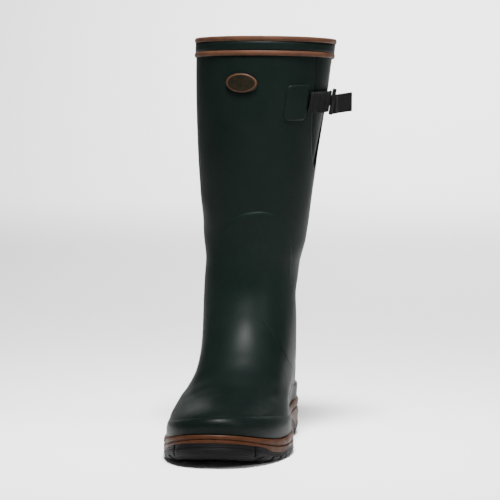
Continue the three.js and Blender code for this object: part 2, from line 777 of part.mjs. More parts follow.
// Strap, tabs and buckle lie round the outer side at one height under the collar
const tab_front = { start: radians(150), end: radians(127) };
const tab_back = { start: radians(70), end: radians(47) };
const strap_span = { start: radians(126), end: radians(74) };
const buckle_angle = radians(80);

// The strap rises from the front tab to the rear one
function strap_drop(angle) {
  const share = (tab_front.start - angle) / (tab_front.start - tab_back.end);
  return mix(strap_drop_front, strap_drop_rear, share);
}

function strap_patch({ start, end, width, base, thickness, columns }) {
  const row_count = 4;
  const place = (i, j) => {
    const angle = mix(end, start, j / columns);
    const drop = strap_drop(angle) + width * (0.5 - i / (row_count - 1));
    return { angle, ring: ring_under_collar(drop, angle) };
  };
  return laid_wall(row_count, columns + 1, place, base, () => thickness);
}

const strap_base = fit_gap + 1.2;

const make_tab_front = () => strap_patch({
  ...tab_front, width: tab_height, base: fit_gap, thickness: tab_wall, columns: 4,
});

const make_tab_back = () => strap_patch({
  ...tab_back, width: tab_height, base: fit_gap, thickness: tab_wall, columns: 4,
});

const make_strap = () => strap_patch({
  ...strap_span, width: strap_width, base: strap_base, thickness: strap_thickness, columns: 7,
});

// Turns a piece drawn with X along the strap towards the heel, Y up and Z outwards
function set_on_strap(mesh, angle, lift) {
  const ring = ring_under_collar(strap_drop(angle), angle);
  const outward = upper_normal(ring, angle);
  const backward = new THREE.Vector3(-outward.y, outward.x, 0).normalize();
  const upward = new THREE.Vector3().crossVectors(outward, backward);
  mesh.quaternion.setFromRotationMatrix(new THREE.Matrix4().makeBasis(backward, upward, outward));
  mesh.position.copy(skin_point(ring, angle, lift));
}

// Slide buckle: a flat frame with two slots and a bar between them
function make_buckle() {
  const middle = (x) => new THREE.Vector3(x, 0, buckle_thickness / 2);
  const slot_length = (buckle_length - 3 * buckle_bar) / 2;
  const slot_x = (slot_length + buckle_bar) / 2;
  let frame = block(buckle_length, buckle_height, buckle_thickness, middle(0));
  for (const side of [-1, 1]) {
    const slot_height = buckle_height - 2 * buckle_bar;
    frame = frame.subtract(block(slot_length, slot_height, 3 * buckle_thickness, middle(side * slot_x)));
  }
  return from_manifold(frame);
}

// Loose end of the strap: it leaves the buckle's middle bar and springs away from the shaft
function make_strap_tail() {
  const curve = new THREE.QuadraticBezierCurve(
    new THREE.Vector2(0, 0),
    new THREE.Vector2(tail_length * 0.2, tail_length * 0.3),
    new THREE.Vector2(tail_length * 0.42, tail_length * 0.85),
  );
  const steps = 5;
  const side_points = (offset) => Array.from({ length: steps + 1 }, (_, i) => {
    const tangent = curve.getTangent(i / steps);
    const point = curve.getPoint(i / steps);
    return new THREE.Vector2(point.x - tangent.y * offset, point.y + tangent.x * offset);
  });
  const outline = [...side_points(-strap_thickness / 2), ...side_points(strap_thickness / 2).reverse()];
  const geometry = new THREE.ExtrudeGeometry(new THREE.Shape(outline), {
    depth: strap_width - 1, bevelEnabled: false,
  });
  geometry.rotateX(Math.PI / 2);
  geometry.translate(0, (strap_width - 1) / 2, 0);
  return geometry;
}

// Badge: a bare oval plate with a raised rim, laid on the front of the shaft
function make_badge() {
  const angle_middle = radians(190);
  const ring_middle = ring_under_collar(badge_drop, angle_middle);
  const middle = upper_point(ring_middle, angle_middle);
  const step = 0.05;
  const per_ring = upper_point(ring_middle + step, angle_middle).distanceTo(middle) / step;
  const per_angle = upper_point(ring_middle, angle_middle + step).distanceTo(middle) / step;
  const tilt = radians(badge_tilt);
  const place = (radius, share, lift) => {
    const turn = full_turn * share;
    const right = radius * badge_width / 2 * Math.cos(turn);
    const up = radius * badge_height / 2 * Math.sin(turn);
    const across = right * Math.cos(tilt) + up * Math.sin(tilt);
    const along = up * Math.cos(tilt) - right * Math.sin(tilt);
    return skin_point(ring_middle + along / per_ring, angle_middle - across / per_angle, lift);
  };
  const rim = (radius) => (radius > 0.7 && radius < 0.9 ? 0.5 : 0);
  const edge = (radius) => (radius === 1 ? -0.4 : 0);
  return disc_solid(
    4,
    24,
    (radius, share) => place(radius, share, fit_gap + badge_thickness + rim(radius) + edge(radius)),
    (radius, share) => place(radius, share, fit_gap),
  );
}

const green_rubber = new THREE.MeshStandardMaterial({ color: 0x1c2a26, roughness: 0.45, metalness: 0 });
const brown_rubber = new THREE.MeshStandardMaterial({ color: 0x64402a, roughness: 0.55, metalness: 0 });
const black_rubber = new THREE.MeshStandardMaterial({ color: 0x17181a, roughness: 0.6, metalness: 0 });
const black_webbing = new THREE.MeshStandardMaterial({ color: 0x101114, roughness: 0.85, metalness: 0 });
const black_plastic = new THREE.MeshStandardMaterial({ color: 0x0d0e10, roughness: 0.4, metalness: 0 });
const olive_rubber = new THREE.MeshStandardMaterial({ color: 0x4a3b22, roughness: 0.5, metalness: 0 });
const sock_lining = new THREE.MeshStandardMaterial({ color: 0x3c3a36, roughness: 0.95, metalness: 0 });

const boot = new THREE.Group();

function add_piece(name, geometry, material) {
  const mesh = new THREE.Mesh(geometry, material);
  mesh.name = name;
  boot.add(mesh);
  return mesh;
}

add_piece('outsole', make_outsole(), black_rubber);
add_piece('midsole', make_midsole(), brown_rubber);
add_piece('insole', make_insole(), sock_lining);
add_piece('upper', make_upper(), green_rubber);
add_piece('toe_rand', make_toe_rand(), green_rubber);
add_piece('heel_counter', make_heel_counter(), green_rubber);
add_piece('ankle_saddle', make_ankle_saddle(), green_rubber);
add_piece('collar_trim_upper', make_trim_upper(), brown_rubber);
add_piece('collar_band', make_collar_band(), green_rubber);
add_piece('collar_trim_lower', make_trim_lower(), brown_rubber);
add_piece('gusset', make_gusset(), green_rubber);
add_piece('strap_tab_front', make_tab_front(), green_rubber);
add_piece('strap_tab_rear', make_tab_back(), green_rubber);
add_piece('strap', make_strap(), black_webbing);

const buckle_lift = strap_base + strap_thickness + 2 * fit_gap;
const buckle = add_piece('buckle', make_buckle(), black_plastic);
set_on_strap(buckle, buckle_angle, buckle_lift);

const tail = add_piece('strap_tail', make_strap_tail(), black_webbing);
set_on_strap(tail, buckle_angle, buckle_lift + buckle_thickness + fit_gap + strap_thickness);

add_piece('badge', make_badge(), olive_rubber);

export default boot;
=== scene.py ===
# %% [markdown]
# # A knee-high rubber field boot, dressed in Blender
#
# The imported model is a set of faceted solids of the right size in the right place. This lesson
# turns them into a boot that has been dipped, moulded and trimmed: smooth dark green rubber, a
# brown midsole, a black tread, brown beads at the collar and a webbing strap at the outer side.
# Every solid stays where it is. A new piece is either a finished copy of its solid or is made on
# it with bmesh operators, and it then stands for that solid.

import math

import bmesh
import bpy
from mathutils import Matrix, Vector
from mathutils.bvhtree import BVHTree
from mathutils.kdtree import KDTree


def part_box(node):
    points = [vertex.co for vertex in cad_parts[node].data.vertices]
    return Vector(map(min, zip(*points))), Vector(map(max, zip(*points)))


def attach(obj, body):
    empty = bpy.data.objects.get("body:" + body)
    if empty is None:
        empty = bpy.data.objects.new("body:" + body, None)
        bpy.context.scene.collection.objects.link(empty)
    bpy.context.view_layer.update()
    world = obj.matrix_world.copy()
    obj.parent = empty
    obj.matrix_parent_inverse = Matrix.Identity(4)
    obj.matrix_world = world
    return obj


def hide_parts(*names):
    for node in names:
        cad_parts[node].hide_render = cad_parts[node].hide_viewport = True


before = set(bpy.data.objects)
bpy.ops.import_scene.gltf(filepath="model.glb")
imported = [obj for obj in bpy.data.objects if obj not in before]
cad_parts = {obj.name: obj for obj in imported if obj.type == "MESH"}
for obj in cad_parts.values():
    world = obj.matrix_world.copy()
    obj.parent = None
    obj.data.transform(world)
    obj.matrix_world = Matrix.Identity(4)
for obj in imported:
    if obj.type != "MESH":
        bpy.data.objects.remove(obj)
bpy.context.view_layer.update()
mm = 0.001
print("nodes:", ", ".join(sorted(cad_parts)))

# %% [markdown]
# ## Camera
#
# The photograph was taken from about three metres, a little above the collar of the boot and
# slightly to its outer side, with a long lens. Keeping that distance keeps the perspective, so
# the collar is seen almost edge on while the toe is seen from above. The lens is a little longer,
# so that the boot fills the frame.

# %% Camera at the photograph's angle
image_pixels = 500
photo_focal_pixels = 2160
closer_crop = 1.4
camera_distance = 3.0
camera_height = 0.44
camera_azimuth = math.radians(7.5)
aim = Vector((0, -0.022, 0.185))

camera_data = bpy.data.cameras.new("camera")
camera_data.sensor_fit = "HORIZONTAL"
camera_data.sensor_width = 36
camera_data.lens = photo_focal_pixels * closer_crop * camera_data.sensor_width / image_pixels
camera_data.clip_end = 50
camera = bpy.data.objects.new("camera", camera_data)
bpy.context.scene.collection.objects.link(camera)
camera.location = aim + Vector((
    camera_distance * math.sin(camera_azimuth),
    -camera_distance * math.cos(camera_azimuth),
    camera_height - aim.z,
))
camera.rotation_euler = (aim - camera.location).to_track_quat("-Z", "Y").to_euler()
bpy.context.scene.camera = camera
print(f"lens {camera_data.lens:.0f} mm at {camera_distance} m")

# %% [markdown]
# ## Floor and light
#
# The boot stands in a bright studio: a pale floor that runs up into a pale wall with no corner,
# and four soft lamps. Satin rubber is nearly black, so what it shows is mostly what it mirrors.
# A lamp at the right gives the sheen on the outer side, and a small one overhead the soft spots
# on instep and toe. The two at the back light only the part of floor and wall that the camera
# sees: their spread is narrow, so the floor at the sides stays dim and the boot's edges, which
# mirror it, stay dark as in the photograph.

# %% Floor that curves up into a wall
floor_half_width = 6.0
floor_front = -5.0
floor_back = 3.4
wall_radius = 1.4
wall_height = 4.0

studio = bmesh.new()
front_edge = [studio.verts.new((side * floor_half_width, floor_front, 0)) for side in (-1, 1)]
edge = studio.edges.new(front_edge)
run = bmesh.ops.extrude_edge_only(studio, edges=[edge])["geom"]
run_verts = [part for part in run if isinstance(part, bmesh.types.BMVert)]
bmesh.ops.translate(studio, verts=run_verts, vec=(0, floor_back - floor_front, 0))
back_edge = [part for part in run if isinstance(part, bmesh.types.BMEdge)]
bmesh.ops.spin(
    studio, geom=run_verts + back_edge, cent=(0, floor_back, wall_radius), axis=(1, 0, 0),
    angle=math.pi / 2, steps=24, use_merge=False, use_duplicate=False,
)
top = max(vert.co.z for vert in studio.verts)
top_edges = [e for e in studio.edges if all(vert.co.z > top - 1e-4 for vert in e.verts)]
rise = bmesh.ops.extrude_edge_only(studio, edges=top_edges)["geom"]
rise_verts = [part for part in rise if isinstance(part, bmesh.types.BMVert)]
bmesh.ops.translate(studio, verts=rise_verts, vec=(0, 0, wall_height))
bmesh.ops.recalc_face_normals(studio, faces=studio.faces)
floor_mesh = bpy.data.meshes.new("studio_floor")
studio.to_mesh(floor_mesh)
studio.free()
floor_mesh.shade_smooth()
floor = bpy.data.objects.new("studio_floor", floor_mesh)
bpy.context.scene.collection.objects.link(floor)

floor_paint = bpy.data.materials.new("floor_paint")
floor_paint.use_nodes = True
paint = floor_paint.node_tree.nodes["Principled BSDF"]
paint.inputs["Base Color"].default_value = (0.88, 0.875, 0.87, 1)
paint.inputs["Roughness"].default_value = 0.7
paint.inputs["Specular IOR Level"].default_value = 0.2
floor.data.materials.append(floor_paint)
print("floor and wall:", len(floor.data.polygons), "faces")

# %% Soft lamps
lamps = [
    # name, place, what it points at, size, power, spread in degrees
    ("key_right", (2.0, -1.3, 1.5), (0, 0, 0.2), 1.2, 15, 120),
    ("overhead_front", (0.12, -0.9, 2.3), (0, -0.1, 0.1), 0.6, 28, 60),
    ("overhead_back", (0.1, 1.9, 2.9), (0.1, 1.9, 0), 0.9, 38, 80),
    ("wall_middle", (-0.1, 3.0, 2.8), (-0.2, 4.4, 0.2), 1.0, 78, 90),
]
for name, place, target, size, power, spread in lamps:
    lamp_data = bpy.data.lights.new(name, "AREA")
    lamp_data.size = size
    lamp_data.energy = power
    lamp_data.spread = math.radians(spread)
    lamp = bpy.data.objects.new(name, lamp_data)
    lamp.location = place
    lamp.rotation_euler = (Vector(target) - lamp.location).to_track_quat("-Z", "Y").to_euler()
    bpy.context.scene.collection.objects.link(lamp)

world = bpy.data.worlds.new("studio_air")
world.use_nodes = True
world.node_tree.nodes["Background"].inputs["Color"].default_value = (0.95, 0.96, 1.0, 1)
world.node_tree.nodes["Background"].inputs["Strength"].default_value = 0.15
bpy.context.scene.world = world
print("lamps:", len(lamps))

# %% [markdown]
# ## Finishes
#
# Each finish is a small tree of nodes on Object coordinates, so a pattern has a real size in
# metres and no seam. A few helpers keep the trees short: each adds one node with its settings,
# such as a noise whose grain is named by its size on the object.

# %% Node helpers
def new_finish(name):
    finish = bpy.data.materials.new(name)
    finish.use_nodes = True
    tree = finish.node_tree
    coords = tree.nodes.new("ShaderNodeTexCoord")
    return finish, tree, tree.nodes["Principled BSDF"], coords.outputs["Object"]


def add_noise(tree, coords, grain, detail=2.0, roughness=0.5):
    node = tree.nodes.new("ShaderNodeTexNoise")
    node.inputs["Scale"].default_value = 1 / grain
    node.inputs["Detail"].default_value = detail
    node.inputs["Roughness"].default_value = roughness
    tree.links.new(coords, node.inputs["Vector"])
    return node.outputs["Fac"]


def add_range(tree, value, low, high, start, end):
    node = tree.nodes.new("ShaderNodeMapRange")
    for key, number in zip(("From Min", "From Max", "To Min", "To Max"), (low, high, start, end)):
        node.inputs[key].default_value = number
    tree.links.new(value, node.inputs["Value"])
    return node.outputs["Result"]


def add_mix(tree, share, first, second):
    node = tree.nodes.new("ShaderNodeMix")
    node.data_type = "RGBA"
    tree.links.new(share, node.inputs["Factor"])
    for socket, colour in zip(("A", "B"), (first, second)):
        target = next(i for i in node.inputs if i.name == socket and i.type == "RGBA")
        if isinstance(colour, tuple):
            target.default_value = (*colour, 1)
        else:
            tree.links.new(colour, target)
    return next(o for o in node.outputs if o.type == "RGBA")


def add_math(tree, operation, first, second):
    node = tree.nodes.new("ShaderNodeMath")
    node.operation = operation
    for socket, value in zip(node.inputs, (first, second)):
        if isinstance(value, (int, float)):
            socket.default_value = value
        else:
            tree.links.new(value, socket)
    return node.outputs["Value"]


def height_share(tree, coords, low, high):
    place = tree.nodes.new("ShaderNodeSeparateXYZ")
    tree.links.new(coords, place.inputs["Vector"])
    return add_range(tree, place.outputs["Z"], low, high, 0.0, 1.0)


def add_bump(tree, height, depth, strength=1.0, under=None):
    node = tree.nodes.new("ShaderNodeBump")
    node.inputs["Strength"].default_value = strength
    node.inputs["Distance"].default_value = depth
    tree.links.new(height, node.inputs["Height"])
    if under is not None:
        tree.links.new(under, node.inputs["Normal"])
    return node.outputs["Normal"]


print("node helpers ready")

# %% [markdown]
# ## Green rubber
#
# Natural rubber that has been handled is never one colour. A thin pale bloom of wax lies on it in
# clouds, it is duller where the bloom is thick, and its face has a fine grain from the mould with
# a slow waviness under it. The grain breaks up the highlights on instep and toe into specks.

# %% Green rubber
def make_green_rubber():
    finish, tree, shader, coords = new_finish("green_rubber")
    clouds = add_noise(tree, coords, 60 * mm, detail=3.0, roughness=0.55)
    specks = add_noise(tree, coords, 3.5 * mm, detail=2.0)
    bloom = add_range(tree, clouds, 0.35, 0.75, 0.0, 0.8)
    dusty = add_math(tree, "MULTIPLY", bloom, add_range(tree, specks, 0.3, 0.7, 0.6, 1.0))
    shaft = add_mix(tree, dusty, (0.0027, 0.0058, 0.0047), (0.0046, 0.0080, 0.0069))
    # Painted shade: the foot is a darker green than the shaft, blending from 60 mm up to 150 mm, to
    # hold back the overhead light on vamp and toe.
    foot_painted_shade = add_mix(tree, dusty, (0.0015, 0.0034, 0.0027), (0.0028, 0.0050, 0.0043))
    colour = add_mix(tree, height_share(tree, coords, 60 * mm, 150 * mm), foot_painted_shade, shaft)
    tree.links.new(colour, shader.inputs["Base Color"])
    dull = add_range(tree, clouds, 0.3, 0.75, 0.4, 0.5)
    tree.links.new(dull, shader.inputs["Roughness"])
    wavy = add_bump(tree, add_noise(tree, coords, 22 * mm, detail=1.0), 0.35 * mm, 0.5)
    grain = add_bump(tree, add_noise(tree, coords, 1.7 * mm, detail=2.0), 0.12 * mm, 0.8, wavy)
    tree.links.new(grain, shader.inputs["Normal"])
    shader.inputs["Specular IOR Level"].default_value = 0.05
    return finish


green_rubber = make_green_rubber()
print("finish:", green_rubber.name)

# %% [markdown]
# ## Brown rubber
#
# Midsole and collar beads are a warm brown compound. It is a little rougher than the green, and it
# has small darker smudges.

# %% Brown rubber
def make_brown_rubber():
    finish, tree, shader, coords = new_finish("brown_rubber")
    smudges = add_range(tree, add_noise(tree, coords, 14 * mm, detail=4.0), 0.35, 0.7, 0.0, 1.0)
    collar = add_mix(tree, smudges, (0.066, 0.029, 0.0165), (0.045, 0.0205, 0.0125))
    sole = add_mix(tree, smudges, (0.036, 0.0125, 0.0052), (0.023, 0.0085, 0.0038))
    colour = add_mix(tree, height_share(tree, coords, 60 * mm, 300 * mm), sole, collar)
    tree.links.new(colour, shader.inputs["Base Color"])
    tree.links.new(add_range(tree, smudges, 0, 1, 0.42, 0.55), shader.inputs["Roughness"])
    grain = add_bump(tree, add_noise(tree, coords, 0.9 * mm, detail=2.0), 0.05 * mm, 0.6)
    tree.links.new(grain, shader.inputs["Normal"])
    shader.inputs["Specular IOR Level"].default_value = 0.05
    return finish


brown_rubber = make_brown_rubber()
print("finish:", brown_rubber.name)

# %% [markdown]
# ## Black tread rubber
#
# The tread is a hard black compound, matt from use. Pale dust sits on it in patches, more of it
# low down where the sole meets the ground. The mould has cut fine level grooves round the side of
# the sole, and they rise with the toe, so they're drawn on the height above the sole's own line.

# %% Black tread rubber
ball_y = -180 * mm
toe_y = -258 * mm
toe_spring = 12 * mm
groove_start = 0.4 * mm
groove_pitch = 1.8 * mm
groove_width = 0.7 * mm


def make_black_rubber():
    finish, tree, shader, coords = new_finish("black_rubber")
    place = tree.nodes.new("ShaderNodeSeparateXYZ")
    tree.links.new(coords, place.inputs["Vector"])
    low_down = add_range(tree, place.outputs["Z"], 0.0, 14 * mm, 1.0, 0.25)
    dust_noise = add_noise(tree, coords, 9 * mm, detail=5.0, roughness=0.65)
    patches = add_range(tree, dust_noise, 0.45, 0.75, 0, 1)
    dust = add_math(tree, "MULTIPLY", patches, low_down)
    colour = add_mix(tree, dust, (0.0028, 0.0028, 0.003), (0.0065, 0.0063, 0.006))
    tree.links.new(colour, shader.inputs["Base Color"])
    tree.links.new(add_range(tree, dust, 0, 1, 0.5, 0.75), shader.inputs["Roughness"])
    past_ball = add_range(tree, place.outputs["Y"], ball_y, toe_y, 0.0, 1.0)
    spring = add_math(tree, "MULTIPLY", add_math(tree, "POWER", past_ball, 2.0), toe_spring)
    height = add_math(tree, "SUBTRACT", place.outputs["Z"], spring)
    saw = add_math(tree, "PINGPONG", add_math(tree, "ADD", height, groove_start), groove_pitch / 2)
    ledge = add_range(tree, saw, 0.0, groove_width / 2, 0.0, 1.0)
    ledges = add_bump(tree, ledge, 0.4 * mm, 0.9)
    grain = add_bump(tree, add_noise(tree, coords, 0.8 * mm, detail=3.0), 0.08 * mm, 0.7, ledges)
    tree.links.new(grain, shader.inputs["Normal"])
    shader.inputs["Specular IOR Level"].default_value = 0.05
    return finish


black_rubber = make_black_rubber()
print("finish:", black_rubber.name)

# %% [markdown]
# ## Olive rubber, webbing, plastic and lining
#
# The badge is olive with a brown cast. The strap is black nylon webbing, whose weave follows the
# strap, so its pattern is read from the piece's own UV map: one unit of it is one metre along or
# across the strap. The buckle is satin black plastic. The lining is a grey knitted sock fabric.

# %% Badge, webbing, plastic and lining
def make_olive_rubber():
    finish, tree, shader, coords = new_finish("olive_rubber")
    worn = add_range(tree, add_noise(tree, coords, 4 * mm, detail=4.0), 0.4, 0.65, 0.0, 1.0)
    colour = add_mix(tree, worn, (0.0062, 0.0056, 0.003), (0.0105, 0.0078, 0.0041))
    tree.links.new(colour, shader.inputs["Base Color"])
    tree.links.new(add_range(tree, worn, 0, 1, 0.5, 0.38), shader.inputs["Roughness"])
    pebbles = add_bump(tree, add_noise(tree, coords, 0.7 * mm, detail=1.0), 0.12 * mm, 0.8)
    tree.links.new(pebbles, shader.inputs["Normal"])
    shader.inputs["Specular IOR Level"].default_value = 0.08
    return finish


def make_webbing():
    finish, tree, shader, coords = new_finish("black_webbing")
    thread = 1.1 * mm
    along = tree.nodes.new("ShaderNodeUVMap")
    along.uv_map = "weave"
    ribs = []
    for direction in ("X", "Y"):
        wave = tree.nodes.new("ShaderNodeTexWave")
        wave.bands_direction = direction
        wave.inputs["Scale"].default_value = 1 / (thread * 3.2)
        tree.links.new(along.outputs["UV"], wave.inputs["Vector"])
        ribs.append(wave.outputs["Fac"])
    weave = add_math(tree, "MULTIPLY", *ribs)
    colour = add_mix(tree, weave, (0.0028, 0.0028, 0.003), (0.0075, 0.0075, 0.0078))
    tree.links.new(colour, shader.inputs["Base Color"])
    shader.inputs["Roughness"].default_value = 0.8
    shader.inputs["Sheen Weight"].default_value = 0.03
    shader.inputs["Specular IOR Level"].default_value = 0.05
    tree.links.new(add_bump(tree, weave, 0.25 * mm, 0.9), shader.inputs["Normal"])
    return finish


def make_plastic():
    finish, tree, shader, coords = new_finish("black_plastic")
    marks = add_noise(tree, coords, 2.5 * mm, detail=5.0)
    tree.links.new(add_range(tree, marks, 0.35, 0.7, 0.32, 0.5), shader.inputs["Roughness"])
    worn = add_range(tree, marks, 0.4, 0.8, 0, 1)
    shade = add_mix(tree, worn, (0.0065, 0.0065, 0.007), (0.012, 0.012, 0.012))
    tree.links.new(shade, shader.inputs["Base Color"])
    texture = add_bump(tree, add_noise(tree, coords, 0.5 * mm, detail=1.0), 0.03 * mm, 0.5)
    tree.links.new(texture, shader.inputs["Normal"])
    shader.inputs["Specular IOR Level"].default_value = 0.12
    return finish


def make_lining():
    finish, tree, shader, coords = new_finish("sock_lining")
    knit = tree.nodes.new("ShaderNodeTexVoronoi")
    knit.inputs["Scale"].default_value = 1 / (1.6 * mm)
    tree.links.new(coords, knit.inputs["Vector"])
    fuzz = add_noise(tree, coords, 12 * mm, detail=4.0)
    paler = add_range(tree, fuzz, 0.3, 0.7, 0, 1)
    colour = add_mix(tree, paler, (0.075, 0.072, 0.066), (0.13, 0.125, 0.115))
    tree.links.new(colour, shader.inputs["Base Color"])
    shader.inputs["Roughness"].default_value = 0.95
    shader.inputs["Sheen Weight"].default_value = 0.4
    stitches = add_bump(tree, knit.outputs["Distance"], 0.35 * mm, 0.8)
    tree.links.new(stitches, shader.inputs["Normal"])
    return finish


olive_rubber = make_olive_rubber()
webbing = make_webbing()
black_plastic = make_plastic()
sock_lining = make_lining()
print("finishes:", olive_rubber.name, webbing.name, black_plastic.name, sock_lining.name)

# %% [markdown]
# ## From a faceted solid to a smooth form
#
# A CAD node arrives as loose triangles. A copy of it is merged at its corners, its triangles are
# joined back into four-sided faces, and a Subdivision Surface rounds it. Edges between faces that
# meet at a steep angle get a crease, so rims and steps stay crisp while the long curves of shaft
# and foot become smooth. The modifier is applied at once, because later steps move the points.

# %% Copy a solid as quads
def quads_of(node):
    form = bmesh.new()
    form.from_mesh(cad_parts[node].data)
    bmesh.ops.remove_doubles(form, verts=form.verts, dist=0.02 * mm)
    bmesh.ops.join_triangles(
        form, faces=form.faces, angle_face_threshold=math.radians(35),
        angle_shape_threshold=math.radians(60), cmp_seam=False, cmp_sharp=False, cmp_uvs=False,
    )
    return form


def crease_layer(form):
    layers = form.edges.layers.float
    return layers.get("crease_edge") or layers.new("crease_edge")


def crease_steep_edges(form, steep=math.radians(48), weight=1.0):
    crease = crease_layer(form)
    for e in form.edges:
        if len(e.link_faces) == 2 and e.calc_face_angle() > steep:
            e[crease] = weight


def piece_from(form, name, finishes):
    mesh = bpy.data.meshes.new(name)
    form.to_mesh(mesh)
    form.free()
    piece = bpy.data.objects.new(name, mesh)
    bpy.context.scene.collection.objects.link(piece)
    for finish in finishes:
        mesh.materials.append(finish)
    mesh.shade_smooth()
    return piece


def apply_modifiers(piece):
    graph = bpy.context.evaluated_depsgraph_get()
    finished = bpy.data.meshes.new_from_object(piece.evaluated_get(graph))
    piece.modifiers.clear()
    piece.data = finished


def subdivide(piece, levels):
    modifier = piece.modifiers.new("smooth", "SUBSURF")
    modifier.levels = modifier.render_levels = levels
    apply_modifiers(piece)


def soften_edges(piece, width, angle=35, segments=2):
    modifier = piece.modifiers.new("soft_edges", "BEVEL")
    modifier.width = width
    modifier.segments = segments
    modifier.limit_method = "ANGLE"
    modifier.angle_limit = math.radians(angle)
    modifier.harden_normals = False


def set_piece(piece, slot, *nodes):
    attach(piece, "root")
    if nodes:
        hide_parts(*nodes)
    print(f"{piece.name}: {len(piece.data.polygons)} faces")


# %% [markdown]
# ## Creases
#
# An empty rubber boot keeps the folds that walking has pressed into it. They are soft: a trough a
# few centimetres long with a low ridge on each side, over the ball where the foot bends, at the
# back of the ankle and above it. Each is drawn as a line from one point to another on the boot,
# with its width and depth, and every piece of the upper is pressed by the same lines.

# %% Creases drawn as lines
creases = [
    # from, to, width and depth in millimetres
    ((-42, -128, 62), (30, -122, 74), 11, 0.8),
    ((-50, -150, 44), (38, -146, 58), 10, 0.55),
    ((34, 18, 142), (-8, 33, 150), 10, 1.3),
    ((-44, -6, 136), (-20, 28, 146), 9, 1.1),
    ((46, -36, 168), (38, 8, 186), 12, 1.2),
    ((-46, -40, 176), (-38, 10, 196), 12, 1.0),
    ((-40, -58, 205), (-52, -20, 222), 14, 0.8),
    ((30, -74, 178), (46, -44, 160), 12, 0.8),
    ((-20, -76, 150), (24, -74, 154), 14, 0.6),
    ((58, -6, 236), (40, 28, 256), 16, 0.9),
]


def press_creases(piece, lining=1):
    lines = [
        (Vector(start) * mm, Vector(end) * mm, width * mm, depth * mm)
        for start, end, width, depth in creases
    ]
    mesh = piece.data
    inside = {i for face in mesh.polygons if face.material_index == lining for i in face.vertices}
    outward = [vert.normal * (-1 if vert.index in inside else 1) for vert in mesh.vertices]
    for vert, normal in zip(mesh.vertices, outward):
        shift = 0.0
        for start, end, width, depth in lines:
            run = end - start
            share = min(max((vert.co - start).dot(run) / run.length_squared, 0.04), 0.96)
            away = (vert.co - (start + share * run)).length / width
            if away < 3.5:
                trough = math.exp(-(away**2))
                ridge = 0.45 * math.exp(-(((away - 1.7) / 0.6) ** 2))
                shift += depth * math.sin(math.pi * share) ** 0.5 * (ridge - trough)
        vert.co += normal * shift


print("creases:", len(creases))

# %% [markdown]
# ## Upper
#
# Shaft and foot are one hollow skin, so its copy has an outer face in green rubber and an inner
# face in sock fabric. A line drawn through the hollow, from collar to toes, tells them apart: a
# face that looks towards the nearest point of that line is lining, and any other is rubber.

# %% Upper
upper_levels = 2
hollow_line = [
    Vector(spot) * mm
    for spot in (
        (0, -22, 400), (0, -22, 160), (0, -38, 95), (0, -100, 62), (-4, -170, 50), (-5, -222, 46),
    )
]


def nearest_in_hollow(place):
    spots = []
    for start, end in zip(hollow_line, hollow_line[1:]):
        run = end - start
        share = min(max((place - start).dot(run) / run.length_squared, 0), 1)
        spots.append(start + share * run)
    return min(spots, key=lambda spot: (spot - place).length)


def mark_lining(form, towards=0.3):
    for face in form.faces:
        centre = face.calc_center_median()
        inward = (nearest_in_hollow(centre) - centre).normalized()
        face.material_index = 1 if face.normal.dot(inward) > towards else 0


upper_form = quads_of("upper")
mark_lining(upper_form)
crease_steep_edges(upper_form)
upper = piece_from(upper_form, "rubber_upper", [green_rubber, sock_lining])
subdivide(upper, upper_levels)
press_creases(upper)
upper.data.shade_smooth()
set_piece(upper, "green_rubber", "upper")

# %% [markdown]
# ## Overlays
#
# Toe rand, heel counter and ankle saddle are sheets of rubber laid on the skin and cured with it,
# so each shows as a low soft step with no gap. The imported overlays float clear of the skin. Their
# copies are let down onto the finished skin: each point goes to the nearest spot of it and rises
# from there by a height of our choosing. At the border that height is just under the skin, and a
# smooth curve leads from there to the full rise, so the overlay seems to grow out of the boot.

# %% Lay a sheet on the skin
wall_bite = 0.8 * mm
sole_reach = 3.2 * mm
FACE, BACK, RIM = 0, 1, 2


def tree_of(mesh, slot=0):
    form = bmesh.new()
    form.from_mesh(mesh)
    others = [face for face in form.faces if face.material_index != slot]
    bmesh.ops.delete(form, geom=others, context="FACES")
    tree = BVHTree.FromBMesh(form)
    form.free()
    return tree


skin_tree = tree_of(upper.data)
midsole_tree = tree_of(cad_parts["midsole"].data)


def smooth_share(value):
    share = min(max(value, 0), 1)
    return share * share * (3 - 2 * share)


def sort_faces(form):
    for face in form.faces:
        centre = face.calc_center_median()
        nearest = skin_tree.find_nearest(centre)[0]
        look = face.normal.dot((centre - nearest).normalized())
        face.material_index = FACE if look > 0.5 else BACK if look < -0.5 else RIM
    crease = crease_layer(form)
    for e in form.edges:
        if len({face.material_index for face in e.link_faces}) > 1:
            e[crease] = 1.0


def border_of(form):
    border = []
    for vert in form.verts:
        kinds = {face.material_index for face in vert.link_faces}
        on_sole = midsole_tree.find_nearest(vert.co, sole_reach)[0] is not None
        if FACE in kinds and len(kinds) > 1 and not on_sole:
            border.append(vert.co.copy())
    tree = KDTree(len(border))
    for i, place in enumerate(border):
        tree.insert(place, i)
    tree.balance()
    return tree


def lay_flush(node, name, rise, edge_width, edge_rise=-0.2 * mm, levels=2):
    form = quads_of(node)
    sort_faces(form)
    piece = piece_from(form, name, [green_rubber])
    subdivide(piece, levels)
    form = bmesh.new()
    form.from_mesh(piece.data)
    border = border_of(form)
    for vert in form.verts:
        spot, normal = skin_tree.find_nearest(vert.co)[:2]
        lift = -wall_bite
        if any(face.material_index == FACE for face in vert.link_faces):
            share = smooth_share(border.find(vert.co)[2] / edge_width)
            lift = edge_rise + share * (rise(vert.co) - edge_rise)
        vert.co = spot + normal * lift
    for face in form.faces:
        face.material_index = 0
    form.to_mesh(piece.data)
    form.free()
    piece.data.shade_smooth()
    set_piece(piece, "green_rubber", node)
    return piece


